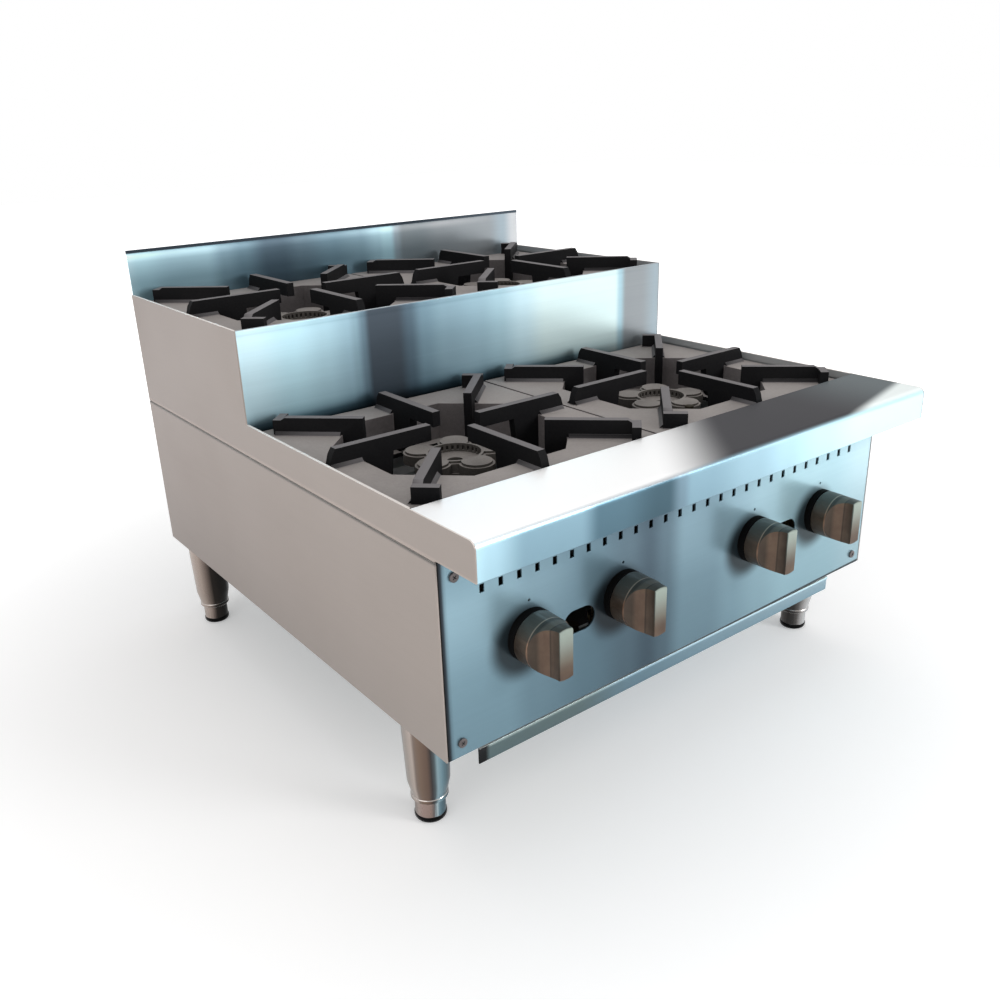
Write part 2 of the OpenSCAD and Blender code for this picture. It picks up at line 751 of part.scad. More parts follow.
module grate(x, y, plate_z) {
  color("darkslategray") translate([x, y, plate_z]) {
    difference() {
      union() {
        translate([-grate_side / 2, -grate_side / 2, -grate_t]) cube([grate_side, grate_side, grate_t]);
        translate([0, 0, -bowl_depth]) linear_extrude(bowl_depth) octagon(bowl_wall);
      }
      translate([0, 0, -bowl_depth + bowl_wall]) linear_extrude(bowl_depth + 1) octagon(0);
      translate([0, 0, -bowl_depth - 1]) linear_extrude(bowl_depth) octagon(-bowl_lip);
    }
    for (a = [0 : 90 : 270]) {
      rotate(a) straight_finger();
      rotate(a + 45) corner_finger(a % 180 == 0 ? 1 : -1);
    }
  }
}

// Leg: a tapered tube with a collar, a stud into its socket and a bore for the foot's stud
leg_wall = 2;
bore_gap = 0.05;
stud_h = 55;
knee_h = 20;
knee_r = (leg_low_r + leg_top_r) / 2 + 0.8;

module leg(x, y) {
  color("silver") translate([x, y, 0]) rotate_extrude($fn = 96) polygon([
    [stud_r + bore_gap, foot_h], [leg_low_r, foot_h], [leg_low_r + 0.8, foot_h + 1],
    [leg_low_r + 0.8, foot_h + 4], [leg_low_r, foot_h + 5], [leg_low_r + 0.6, foot_h + 8],
    [knee_r, foot_h + knee_h], [leg_top_r, base_z - 8], [leg_top_r, base_z],
    [leg_stud_r, base_z], [leg_stud_r, base_z + leg_stud_h],
    [0, base_z + leg_stud_h], [0, base_z - 6], [leg_top_r - leg_wall, base_z - 6],
    [leg_top_r - leg_wall, base_z - 9], [leg_low_r - leg_wall, foot_h + 10], [stud_r + bore_gap, foot_h + 10]
  ]);
}

// Foot: a turned foot with a wider pad and a stud that screws up into the leg
pad_h = 6;

module foot(x, y) {
  color("gray") translate([x, y, 0]) rotate_extrude($fn = 96) polygon([
    [0, 0], [foot_r - 3, 0], [foot_r - 1, 1], [foot_r, 3], [foot_r, pad_h], [foot_r - 0.8, pad_h + 0.8],
    [foot_r - 0.8, foot_h - 1], [foot_r - 1.8, foot_h], [stud_r, foot_h], [stud_r, foot_h + stud_h],
    [0, foot_h + stud_h]
  ]);
}

// Plate and nut that hold each leg's stud, on top of the base flange
socket_side = 40;
socket_nut_r = 13;
socket_nut_h = 10;

module leg_sockets() {
  color("silver") for (s = [-1, 1], y = leg_y) translate([s * leg_x, y, base_z + sheet_t]) difference() {
    union() {
      translate([-socket_side / 2, -socket_side / 2, 0]) cube([socket_side, socket_side, socket_t]);
      cylinder(h = socket_nut_h, r = socket_nut_r, $fn = 6);
    }
    translate([0, 0, -1]) cylinder(h = socket_nut_h + 2, r = leg_stud_r + 0.05, $fn = fine);
  }
}

// Screws of the front and back panels
module panel_screws() {
  color("silver") for (s = [-1, 1]) {
    for (z = screw_z) {
      rod_y(s * (half_w - screw_inset), y_panel - 2.2, y_panel, z, screw_head_r);
      rod_y(s * (half_w - screw_inset), y_panel - 1, y_panel + 8, z, screw_r);
    }
    for (z = back_screw_z) {
      rod_y(s * (half_w - screw_inset), y_back, y_back + 2.2, z, screw_head_r);
      rod_y(s * (half_w - screw_inset), y_back - 8, y_back + 1, z, screw_r);
    }
  }
}

color("silver") mirror([1, 0, 0]) lower_side();  // lower_side_left
color("silver") lower_side();  // lower_side_right
color("silver") mirror([1, 0, 0]) upper_side();  // upper_side_left
color("silver") upper_side();  // upper_side_right
front_panel();
front_ledge();
riser_panel();
backsplash();
back_panel();
front_grate_frame();
rear_grate_frame();
burner_rail(grate_y_front);  // front_burner_rail
burner_rail(grate_y_rear);  // rear_burner_rail
heat_shield();
color("silver") mirror([1, 0, 0]) tray_runner();  // tray_runner_left
color("silver") tray_runner();  // tray_runner_right
crumb_tray();
gas_manifold();
gas_inlet_pipe();
tap_body(tap_x[0]);  // tap_body_1
tap_body(tap_x[1]);  // tap_body_2
tap_body(tap_x[2]);  // tap_body_3
tap_body(tap_x[3]);  // tap_body_4
tap_stem(tap_x[0]);  // tap_stem_1
tap_stem(tap_x[1]);  // tap_stem_2
tap_stem(tap_x[2]);  // tap_stem_3
tap_stem(tap_x[3]);  // tap_stem_4
knob(tap_x[0]);  // knob_1
knob(tap_x[1]);  // knob_2
knob(tap_x[2]);  // knob_3
knob(tap_x[3]);  // knob_4
knob_bezels();
gas_jets();
burner_base(tap_x[1], -grate_x, grate_y_front, head_front_z);  // burner_base_front_left
burner_base(tap_x[2], grate_x, grate_y_front, head_front_z);  // burner_base_front_right
burner_base(tap_x[0], -grate_x, grate_y_rear, head_rear_z);  // burner_base_rear_left
burner_base(tap_x[3], grate_x, grate_y_rear, head_rear_z);  // burner_base_rear_right
burner_head(-grate_x, grate_y_front, head_front_z);  // burner_head_front_left
burner_head(grate_x, grate_y_front, head_front_z);  // burner_head_front_right
burner_head(-grate_x, grate_y_rear, head_rear_z);  // burner_head_rear_left
burner_head(grate_x, grate_y_rear, head_rear_z);  // burner_head_rear_right
pilot_line(-1);  // pilot_line_left
pilot_line(1);  // pilot_line_right
grate(-grate_x, grate_y_front, plate_front_z);  // grate_front_left
grate(grate_x, grate_y_front, plate_front_z);  // grate_front_right
grate(-grate_x, grate_y_rear, plate_rear_z);  // grate_rear_left
grate(grate_x, grate_y_rear, plate_rear_z);  // grate_rear_right
leg(-leg_x, leg_y[0]);  // leg_front_left
leg(leg_x, leg_y[0]);  // leg_front_right
leg(-leg_x, leg_y[1]);  // leg_rear_left
leg(leg_x, leg_y[1]);  // leg_rear_right
foot(-leg_x, leg_y[0]);  // foot_front_left
foot(leg_x, leg_y[0]);  // foot_front_right
foot(-leg_x, leg_y[1]);  // foot_rear_left
foot(leg_x, leg_y[1]);  // foot_rear_right
leg_sockets();
panel_screws();
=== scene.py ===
import json
import math

import bmesh
import bpy
import numpy as np
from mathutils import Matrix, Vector


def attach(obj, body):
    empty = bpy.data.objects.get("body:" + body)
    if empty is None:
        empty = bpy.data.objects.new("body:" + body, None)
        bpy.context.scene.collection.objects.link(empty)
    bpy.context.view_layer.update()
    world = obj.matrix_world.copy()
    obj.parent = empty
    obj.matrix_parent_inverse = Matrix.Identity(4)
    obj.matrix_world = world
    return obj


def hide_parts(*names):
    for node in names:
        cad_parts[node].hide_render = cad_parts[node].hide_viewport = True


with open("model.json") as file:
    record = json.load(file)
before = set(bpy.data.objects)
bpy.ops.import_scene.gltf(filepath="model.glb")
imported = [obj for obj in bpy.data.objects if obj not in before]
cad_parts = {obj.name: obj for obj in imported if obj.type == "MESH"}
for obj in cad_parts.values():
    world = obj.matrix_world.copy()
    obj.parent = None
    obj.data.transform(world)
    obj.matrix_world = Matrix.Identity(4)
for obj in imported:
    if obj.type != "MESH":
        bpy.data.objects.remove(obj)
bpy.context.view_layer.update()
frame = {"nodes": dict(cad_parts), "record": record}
bodyOf = {n: body for body, members in frame["record"]["behaviour"]["bodies"].items() for n in members}
slotOf = {s["node"]: s["material_slot"] for s in frame["record"]["subparts"]}
mm = 0.001
print("frame loaded:", len(bodyOf), "nodes")

# Camera, where the photograph was taken from, in metres and degrees
view = {
    "place": (-0.6775, -0.8841, 0.6239),
    "turn": (68.19, 1.76, -38.01),
    "lens": 34.67,
    "sensor": 36.0,
    "near": 0.01,
}

# Studio: pale floor, white surroundings and soft lamps (name, place, width, power)
studio = {
    "floorHalf": 9.0,
    "floorShade": 0.84,
    "floorRough": 0.9,
    "floorSheen": 0.1,
    "nearRadius": 0.4,
    "farRadius": 1.6,
    "nearGlow": 0.30,
    "farGlow": 0.95,
    "surround": 0.70,
    "mirrorLow": 1.0,
    "mirrorTop": 0.96,
    "mirrorRise": 0.7,
    "aim": (0, -0.05, 0.25),
    "lamps": [
        ("keyLamp", (1.3, -2.5, 1.0), 1.0, 30.0),
        ("topLamp", (0.3, 0.2, 2.6), 2.0, 9.0),
        ("fillLamp", (-2.4, -1.0, 1.0), 2.0, 12.0),
    ],
}


# Helpers for node trees; a source is a (node, output) pair

def addNode(tree, kind, spot, **values):
    node = tree.nodes.new(kind)
    node.location = spot
    for key, value in values.items():
        setattr(node, key, value)
    return node


def feed(tree, value, node, socket):
    # Link a source to an input, or set the input to a plain number or colour
    if not isinstance(value, tuple):
        node.inputs[socket].default_value = value
    elif len(value) == 2:
        tree.links.new(value[0].outputs[value[1]], node.inputs[socket])
    else:
        node.inputs[socket].default_value = (*value, 1.0)


def ramp(tree, spot, source, stops, interpolation="LINEAR"):
    # Colours along the source; stops are (position, colour)
    node = addNode(tree, "ShaderNodeValToRGB", spot)
    band = node.color_ramp
    while len(band.elements) < len(stops):
        band.elements.new(0.5)
    for element, (position, colour) in zip(band.elements, stops):
        element.position = position
        element.color = (*colour, 1.0)
    band.interpolation = interpolation
    feed(tree, source, node, 0)
    return node, "Color"


def mapped(tree, spot, source, start, stop, low=0.0, high=1.0, kind="LINEAR"):
    # The source from start to stop becomes low to high, and stays there beyond
    node = addNode(tree, "ShaderNodeMapRange", spot, interpolation_type=kind)
    feed(tree, source, node, "Value")
    for socket, value in (("From Min", start), ("From Max", stop), ("To Min", low), ("To Max", high)):
        node.inputs[socket].default_value = value
    return node, "Result"


def within(tree, spot, source, start, stop, amount=1.0):
    # Soft step from 0 at start to the amount at stop
    return mapped(tree, spot, source, start, stop, 0.0, amount, "SMOOTHSTEP")


def mathNode(tree, spot, operation, a, b=None, clamp=False):
    node = addNode(tree, "ShaderNodeMath", spot, operation=operation, use_clamp=clamp)
    feed(tree, a, node, 0)
    if b is not None:
        feed(tree, b, node, 1)
    return node, 0


def mixed(tree, spot, factor, a, b, kind="MIX", clamp=False):
    # Colour a, changed to b (or multiplied by b) as far as the factor says
    node = addNode(tree, "ShaderNodeMix", spot, data_type="RGBA", blend_type=kind, clamp_result=clamp)
    for value, socket in ((factor, "Factor"), (a, "A"), (b, "B")):
        feed(tree, value, node, socket)
    return node, "Result"


def makeCamera():
    data = bpy.data.cameras.new("photoCamera")
    data.lens = view["lens"]
    data.sensor_width = view["sensor"]
    data.clip_start = view["near"]
    camera = bpy.data.objects.new("photoCamera", data)
    camera.location = view["place"]
    camera.rotation_euler = [math.radians(a) for a in view["turn"]]
    bpy.context.scene.collection.objects.link(camera)
    bpy.context.scene.camera = camera


def makeWorld():
    # White for the camera, an even level for light, and a soft horizon-to-top fall-off in reflections
    world = bpy.data.worlds.new("studioWorld")
    bpy.context.scene.world = world
    world.use_nodes = True
    tree = world.node_tree
    tree.nodes.clear()
    out = addNode(tree, "ShaderNodeOutputWorld", (600, 0))
    seen = addNode(tree, "ShaderNodeBackground", (200, 100))
    lit = addNode(tree, "ShaderNodeBackground", (200, -60))
    mirrored = addNode(tree, "ShaderNodeBackground", (200, -220))
    path = addNode(tree, "ShaderNodeLightPath", (-200, 320))
    place = addNode(tree, "ShaderNodeTexCoord", (-600, -220))
    split = addNode(tree, "ShaderNodeSeparateXYZ", (-400, -220))
    feed(tree, (place, "Generated"), split, 0)
    low, top = (studio["mirrorLow"],) * 3, (studio["mirrorTop"],) * 3
    fall = ramp(tree, (-200, -220), (split, "Z"), [(0.0, low), (studio["mirrorRise"], top)])
    feed(tree, fall, mirrored, "Color")
    feed(tree, (1.0, 1.0, 1.0), seen, "Color")
    feed(tree, studio["surround"], lit, "Strength")
    first = addNode(tree, "ShaderNodeMixShader", (400, -60))
    second = addNode(tree, "ShaderNodeMixShader", (500, 60))
    for node, ray, otherwise, then in (
        (first, "Is Glossy Ray", lit, mirrored),
        (second, "Is Camera Ray", first, seen),
    ):
        feed(tree, (path, ray), node, 0)
        feed(tree, (otherwise, 0), node, 1)
        feed(tree, (then, 0), node, 2)
    feed(tree, (second, 0), out, "Surface")


def makeFloor():
    # Pale matt floor; the camera and reflections see white added to it, weakest under the object
    half = studio["floorHalf"]
    mesh = bpy.data.meshes.new("studioFloor")
    corners = [(-half, -half, 0), (half, -half, 0), (half, half, 0), (-half, half, 0)]
    mesh.from_pydata(corners, [], [(0, 1, 2, 3)])
    floor = bpy.data.objects.new("studioFloor", mesh)
    bpy.context.scene.collection.objects.link(floor)
    finish = bpy.data.materials.new("studioFloor")
    finish.use_nodes = True
    tree = finish.node_tree
    shader = tree.nodes["Principled BSDF"]
    feed(tree, (studio["floorShade"],) * 3, shader, "Base Color")
    feed(tree, studio["floorRough"], shader, "Roughness")
    feed(tree, studio["floorSheen"], shader, "Specular IOR Level")
    place = addNode(tree, "ShaderNodeTexCoord", (-900, -300))
    away = addNode(tree, "ShaderNodeVectorMath", (-700, -300), operation="LENGTH")
    feed(tree, (place, "Object"), away, 0)
    level = mapped(tree, (-500, -300), (away, "Value"), studio["nearRadius"], studio["farRadius"],
                   studio["nearGlow"], studio["farGlow"], "SMOOTHSTEP")
    path = addNode(tree, "ShaderNodeLightPath", (-900, 0))
    rays = mathNode(tree, (-700, 0), "ADD", (path, "Is Camera Ray"), (path, "Is Glossy Ray"), clamp=True)
    rays = mathNode(tree, (-500, 0), "ADD", rays, (path, "Is Transmission Ray"), clamp=True)
    glow = addNode(tree, "ShaderNodeEmission", (300, -300))
    feed(tree, mathNode(tree, (-300, -100), "MULTIPLY", rays, level), glow, "Strength")
    both = addNode(tree, "ShaderNodeAddShader", (650, 0))
    feed(tree, (shader, 0), both, 0)
    feed(tree, (glow, 0), both, 1)
    feed(tree, (both, 0), tree.nodes["Material Output"], "Surface")
    mesh.materials.append(finish)


def makeLamps():
    aim = Vector(studio["aim"])
    for name, place, size, power in studio["lamps"]:
        data = bpy.data.lights.new(name, "AREA")
        data.shape = "DISK"
        data.size = size
        data.energy = power
        lamp = bpy.data.objects.new(name, data)
        lamp.location = place
        lamp.rotation_euler = (aim - Vector(place)).to_track_quat("-Z", "Y").to_euler()
        bpy.context.scene.collection.objects.link(lamp)


makeCamera()
makeWorld()
makeFloor()
makeLamps()
bpy.context.scene.view_settings.view_transform = "Standard"
print("studio made")


# Shared effects, one node group each; each noise is its scale, detail and roughness
grain = {"fine": (1.0, 3.0, 0.6), "broad": (0.13, 2.0, 0.5), "broadShare": 0.45}
marks = {"patch": (6.0, 3.0, 0.5), "from": 0.25, "to": 0.8}
cast = {
    "grit": (420.0, 4.0, 0.65), "lumps": (70.0, 3.0, 0.5), "drift": (14.0, 4.0, 0.55),
    "lumpShare": 0.5, "driftShare": 0.6, "bumpDepth": 0.6 * mm, "gloss": 0.3,
}


def newGroup(name, setting, default, outputs):
    # A group that takes a vector and one setting of its own
    group = bpy.data.node_groups.new(name, "ShaderNodeTree")
    group.interface.new_socket("Vector", in_out="INPUT", socket_type="NodeSocketVector")
    kind = "NodeSocketVector" if isinstance(default, tuple) else "NodeSocketFloat"
    group.interface.new_socket(setting, in_out="INPUT", socket_type=kind).default_value = default
    for label in outputs:
        group.interface.new_socket(label, in_out="OUTPUT", socket_type="NodeSocketFloat")
    return group, addNode(group, "NodeGroupInput", (-900, 0)), addNode(group, "NodeGroupOutput", (700, 0))


def noise(tree, spot, vector, look):
    node = addNode(tree, "ShaderNodeTexNoise", spot)
    feed(tree, vector, node, "Vector")
    for socket, value in zip(("Scale", "Detail", "Roughness"), look):
        node.inputs[socket].default_value = value
    return node, "Fac"


def shared(tree, spot, share, a, b):
    # Two values in one, b with the given share
    node = addNode(tree, "ShaderNodeMix", spot, data_type="FLOAT")
    for value, socket in ((share, "Factor"), (a, "A"), (b, "B")):
        feed(tree, value, node, socket)
    return node, "Result"


def grainGroup():
    # Fine scratches along one direction: noise read at coordinates squeezed by the Stretch vector
    group, entry, leave = newGroup("brushedGrain", "Stretch", (1.0, 1.0, 1.0), ("Tone", "Height"))
    squeeze = addNode(group, "ShaderNodeVectorMath", (-700, 0), operation="MULTIPLY")
    feed(group, (entry, "Vector"), squeeze, 0)
    feed(group, (entry, "Stretch"), squeeze, 1)
    fine = noise(group, (-450, 120), (squeeze, 0), grain["fine"])
    broad = noise(group, (-450, -160), (squeeze, 0), grain["broad"])
    feed(group, shared(group, (-150, 0), grain["broadShare"], fine, broad), leave, "Tone")
    feed(group, fine, leave, "Height")
    return group


def smudgeGroup():
    # Large soft patches of handling marks, from 0 to 1
    group, entry, leave = newGroup("handlingMarks", "Size", marks["patch"][0], ("Mask",))
    patch = noise(group, (-450, 0), (entry, "Vector"), marks["patch"])
    feed(group, (entry, "Size"), patch[0], "Scale")
    feed(group, within(group, (-150, 0), patch, marks["from"], marks["to"]), leave, "Mask")
    return group


def castGroup():
    # Sand-cast skin: coarse pits and a fine grit, with a tone that varies slowly
    group, entry, leave = newGroup("castSkin", "Grit", cast["grit"][0], ("Tone", "Height"))
    grit, lumps, drift = (noise(group, (-450, 200 - 240 * k), (entry, "Vector"), cast[name])
                          for k, name in enumerate(("grit", "lumps", "drift")))
    feed(group, (entry, "Grit"), grit[0], "Scale")
    feed(group, shared(group, (-150, -160), cast["driftShare"], grit, drift), leave, "Tone")
    feed(group, shared(group, (-150, 120), cast["lumpShare"], grit, lumps), leave, "Height")
    return group


brushedGrain = grainGroup()
handlingMarks = smudgeGroup()
castSkin = castGroup()
print("shared effects made")


# Limits of a face's facing along an axis, from not turned that way to fully turned
turned = {
    "lip": (0.35, 0.9), "topEdge": (0.4, 0.8), "behind": (0.3, 0.6), "cast": (0.55, 0.97), "upper": (0.25, 0.95),
    "wall": (0.6, 0.3),
}
# The part of a noise's range that the tones use
toneSpan = (0.3, 0.7)
# What the sheets and the plain metals have unless their look says otherwise, and what all of them share
sheet = {
    "reachX": (-310, 310), "reachZ": (80, 500), "roughSwing": 0.03, "blueing": (1.15, 0.93), "markSize": 5.0,
    "markTint": (0.93, 0.94, 0.95), "bump": (0.08, 0.2 * mm), "gloss": 0.2, "streaks": 0.05,
}
plain = {
    "duller": 0.10, "shinier": 0.07, "grit": (600.0, 3.0, 0.6), "bump": (0.08, 0.2 * mm), "lowSoft": 0.4 * mm,
    "acrossView": (0.79, -0.61, 0.0), "cornerSoft": 0.01, "markSize": 30.0, "gloss": 0.4,
}
# Where the grates lie, for the tones of their bowls and fingers
grates = {
    "radius": 0.108, "corner": 0.115, "sideX": 0.151, "frontY": -0.120, "rearY": 0.18575, "frontZ": 0.325,
    "rearZ": 0.4225, "rearFrom": 0.363, "skin": 0.8 * mm,
}


class Finish:
    # One material: its tree, its shader, and the place and facing that the layers read
    def __init__(self, name, metallic, roughness, gloss):
        self.material = bpy.data.materials.new(name)
        self.material.use_nodes = True
        self.tree = self.material.node_tree
        self.shader = self.tree.nodes["Principled BSDF"]
        self.shader.location = (600, 0)
        for socket, value in (("Metallic", metallic), ("Roughness", roughness), ("Specular IOR Level", gloss)):
            self.shader.inputs[socket].default_value = value
        coordinates = addNode(self.tree, "ShaderNodeTexCoord", (-1200, 0))
        self.place = (coordinates, "Object")
        self.normal = (coordinates, "Normal")
        self.at = addNode(self.tree, "ShaderNodeSeparateXYZ", (-1000, 500))
        self.facing = addNode(self.tree, "ShaderNodeSeparateXYZ", (-1000, 1400))
        feed(self.tree, self.place, self.at, 0)
        feed(self.tree, self.normal, self.facing, 0)

    def useGroup(self, group, spot, setting, value):
        node = addNode(self.tree, "ShaderNodeGroup", spot)
        node.node_tree = group
        feed(self.tree, self.place, node, "Vector")
        node.inputs[setting].default_value = value
        return node

    def combine(self, spot, operation, vector):
        # Product or dot product of the place and a fixed vector
        node = addNode(self.tree, "ShaderNodeVectorMath", spot, operation=operation)
        node.inputs[1].default_value = vector
        feed(self.tree, self.place, node, 0)
        return node

    def bump(self, source, strength, distance):
        node = addNode(self.tree, "ShaderNodeBump", (350, -350))
        feed(self.tree, strength, node, "Strength")
        feed(self.tree, distance, node, "Distance")
        feed(self.tree, source, node, "Height")
        feed(self.tree, (node, "Normal"), self.shader, "Normal")


def stopsAlong(finish, spot, axis, reach, stops, interpolation="LINEAR"):
    # Colours along one axis; the stops and the reach that they are given over are in millimetres
    start, stop = reach
    span = mapped(finish.tree, spot, (finish.at, axis), start * mm, stop * mm)
    placed = [((at - start) / (stop - start), colour) for at, colour in stops]
    return ramp(finish.tree, (spot[0] + 200, spot[1]), span, placed, interpolation)


def toned(finish, spot, stops):
    # Named tones across the sheet: painted reflection bands, or one even tone
    return stopsAlong(finish, spot, "X", sheet["reachX"], [(at, steelTones[tone]) for at, tone in stops], "EASE")


def levelled(finish, spot, axis, reach, stops):
    # Factors along one axis for painted light, shade and reflection, the darker, the bluer
    red, blue = sheet["blueing"]
    return stopsAlong(finish, spot, axis, reach, [(at, (f ** red, f, f ** blue)) for at, f in stops])


def addPatches(finish, last, look):
    # Soft-edged patches of one tone, each along its own direction: mostly painted shade, reflections and highlights
    tree = finish.tree
    for k, patch in enumerate(look.get("patches", [])):
        height = 800 + 160 * k
        dot = finish.combine((-600, height), "DOT_PRODUCT", patch["along"])
        edge = within(tree, (-400, height), (dot, "Value"), patch["from"] * mm, patch["to"] * mm,
                      patch.get("amount", 1.0))
        last = mixed(tree, (-200, height), edge, last, steelTones[patch["tone"]])
        if "matt" in patch:
            # Where the painted dark reflection lies, the metal turns matt, so that no white sheen shows at a low
            # angle
            level = within(tree, (-600, 2600), (finish.facing, "Z"), *turned["lip"])
            level = mathNode(tree, (-400, 2600), "MULTIPLY", level, edge)
            metal = mapped(tree, (-200, 2600), level, 0.0, 1.0, look["metal"], patch["matt"])
            feed(tree, metal, finish.shader, "Metallic")
    return last


def addHeights(finish, last, look):
    # Painted light and shade with height (on the sides also the dark seam line), fading out between the two ends
    # across X
    heights = levelled(finish, (-800, 300), "Z", sheet["reachZ"], look["up"])
    fade = 1.0
    if "upEnds" in look:
        start, stop = look["upEnds"]
        fade = within(finish.tree, (-200, 600), (finish.at, "X"), stop * mm, start * mm)
    return mixed(finish.tree, (0, 400), fade, last, heights, "MULTIPLY")


def addHalos(finish, last, halos):
    # Dark ring of shade on the sheet around each knob
    tree = finish.tree
    flatten = finish.combine((-1000, 2000), "MULTIPLY", (1, 0, 1))
    nearest = None
    for k, centre in enumerate(halos["centres"]):
        away = addNode(tree, "ShaderNodeVectorMath", (-800, 2000 + 160 * k), operation="DISTANCE")
        away.inputs[1].default_value = centre
        feed(tree, (flatten, 0), away, 0)
        one = (away, "Value")
        nearest = mathNode(tree, (-600, 2000 + 160 * k), "MINIMUM", nearest, one) if nearest else one
    ring = within(tree, (-400, 2000), nearest, halos["outer"], halos["inner"], halos["depth"])
    return mixed(tree, (20, 800), ring, last, steelTones["black"])


def addFaces(finish, spot, last, axis, limits, other):
    # Another colour on the faces that are turned along the axis
    mask = within(finish.tree, spot, (finish.facing, axis), *limits)
    return mixed(finish.tree, (spot[0] + 200, spot[1]), mask, last, other)


def brushedSteel(name, look):
    # Brushed sheet with the room's painted reflections as soft bands: tone across X, painted light and shade over
    # Z, grain and smudges
    finish = Finish(name, look["metal"], look["rough"], look.get("gloss", sheet["gloss"]))
    tree = finish.tree
    scratches = finish.useGroup(brushedGrain, (-900, 100), "Stretch", look["stretch"])
    smudges = (finish.useGroup(handlingMarks, (-900, -250), "Size", sheet["markSize"]), "Mask")
    last = addPatches(finish, toned(finish, (-800, 500), look["across"]), look)
    if "lip" in look:
        last = addFaces(finish, (-600, 1400), toned(finish, (-800, 1200), look["lip"]), "Z", turned["lip"], last)
    if "up" in look:
        last = addHeights(finish, last, look)
    if "halos" in look:
        last = addHalos(finish, last, look["halos"])
    # Painted highlight on faces turned upward, such as the sheets' top edges
    if "topEdge" in look:
        last = addFaces(finish, (-600, 1600), last, "Z", turned["topEdge"], steelTones[look["topEdge"]])
    if "behind" in look:
        last = addFaces(finish, (-600, 1800), last, "Y", turned["behind"], steelTones[look["behind"]])
    level, swing = look["level"], sheet["roughSwing"]
    streak = mapped(tree, (-300, 100), (scratches, "Tone"), *toneSpan,
                    level * (1.0 - look.get("streaks", sheet["streaks"])), level)
    last = mixed(tree, (150, 300), 1.0, last, streak, "MULTIPLY")
    tint = look.get("markTint", sheet["markTint"])
    last = mixed(tree, (350, 200), smudges, last, tint, "MULTIPLY", clamp=True)
    feed(tree, last, finish.shader, "Base Color")
    rough = mapped(tree, (0, -150), smudges, 0.0, 1.0, look["rough"] - swing, look["rough"] + swing)
    feed(tree, rough, finish.shader, "Roughness")
    finish.bump((scratches, "Height"), *sheet["bump"])
    return finish.material


def rearOnly(finish, spot, amount):
    # The amount on the rear deck and 0 on the front deck
    rear = mathNode(finish.tree, spot, "GREATER_THAN", (finish.at, "Z"), grates["rearFrom"])
    return mathNode(finish.tree, (spot[0] + 200, spot[1]), "MULTIPLY", rear, amount)


def fingerMask(finish):
    # 1 above the plates, where only the fingers stand
    lift = rearOnly(finish, (-2200, 1200), grates["rearZ"] - grates["frontZ"])
    height = mathNode(finish.tree, (-1800, 1300), "SUBTRACT", (finish.at, "Z"), lift)
    return mathNode(finish.tree, (-1600, 1300), "GREATER_THAN", height, grates["frontZ"] + grates["skin"])


def bowlMask(finish, fingers):
    # 1 on the eight walls of a grate's bowl: the octagon's distance from the nearest burner reaches its radius
    tree = finish.tree
    back = rearOnly(finish, (-2200, 500), grates["rearY"] - grates["frontY"])
    offY = mathNode(tree, (-1800, 600), "SUBTRACT", (finish.at, "Y"), back)
    offY = mathNode(tree, (-1600, 600), "SUBTRACT", offY, grates["frontY"])
    offY = mathNode(tree, (-1400, 600), "ABSOLUTE", offY)
    offX = mathNode(tree, (-2000, 900), "ABSOLUTE", (finish.at, "X"))
    offX = mathNode(tree, (-1800, 900), "SUBTRACT", offX, grates["sideX"])
    offX = mathNode(tree, (-1600, 900), "ABSOLUTE", offX)
    flat = mathNode(tree, (-1200, 800), "MAXIMUM", offX, offY)
    slant = mathNode(tree, (-1200, 600), "ADD", offX, offY)
    slant = mathNode(tree, (-1000, 600), "MULTIPLY", slant, math.sqrt(0.5) * grates["radius"] / grates["corner"])
    reach = mathNode(tree, (-800, 700), "MAXIMUM", flat, slant)
    wall = mathNode(tree, (-600, 700), "GREATER_THAN", reach, grates["radius"] - grates["skin"])
    below = mathNode(tree, (-600, 900), "SUBTRACT", 1.0, fingers)
    return mathNode(tree, (-400, 800), "MULTIPLY", wall, below)


def castIron(name, look):
    # Cast piece: dark iron walls with painted shade, upward faces paler with painted light, gritty bump
    finish = Finish(name, 0.0, look["rough"], look.get("gloss", cast["gloss"]))
    tree = finish.tree
    skin = finish.useGroup(castSkin, (-900, 100), "Grit", look["grit"])

    def skinTones(spot, pair):
        return ramp(tree, spot, (skin, "Tone"), list(zip(toneSpan, pair)))

    walls = skinTones((-600, 250), look["walls"])
    tops = skinTones((-600, 0), look["tops"])
    if "bowls" in look:
        # Bowl walls get a paler painted shade than the other walls; finger tops get a tone of their own
        fingers = fingerMask(finish)
        walls = mixed(tree, (-350, 350), bowlMask(finish, fingers), walls, skinTones((-600, 500), look["bowls"]))
        tops = mixed(tree, (-350, 0), fingers, tops, look["fingerTop"])
    feed(tree, addFaces(finish, (-700, -200), walls, "Z", turned["cast"], tops), finish.shader, "Base Color")
    finish.bump((skin, "Height"), look["bump"], cast["bumpDepth"])
    return finish.material


def addRoundReflections(finish, last, bands):
    # Painted reflection bands of the room around a turned surface, by its facing across the view; other painted
    # reflection bands behind and at the right
    tree = finish.tree
    turn = addNode(tree, "ShaderNodeVectorMath", (-900, 1300), operation="DOT_PRODUCT")
    turn.inputs[1].default_value = plain["acrossView"]
    feed(tree, finish.normal, turn, 0)
    across = mapped(tree, (-700, 1300), (turn, "Value"), -1.0, 1.0)
    around = ramp(tree, (-500, 1300), across, bands)
    for k, (axis, others) in enumerate((("Y", backReflections), ("X", rightReflections))):
        height = 1900 + 200 * k
        beyond = within(tree, (-700, height), (finish.at, axis), -plain["cornerSoft"], plain["cornerSoft"])
        around = mixed(tree, (-300, height), beyond, around, ramp(tree, (-500, height), across, others))
    flat = mathNode(tree, (-700, 1600), "ABSOLUTE", (finish.facing, "Z"))
    return mixed(tree, (-200, 1300), within(tree, (-500, 1600), flat, *turned["wall"]), last, around)


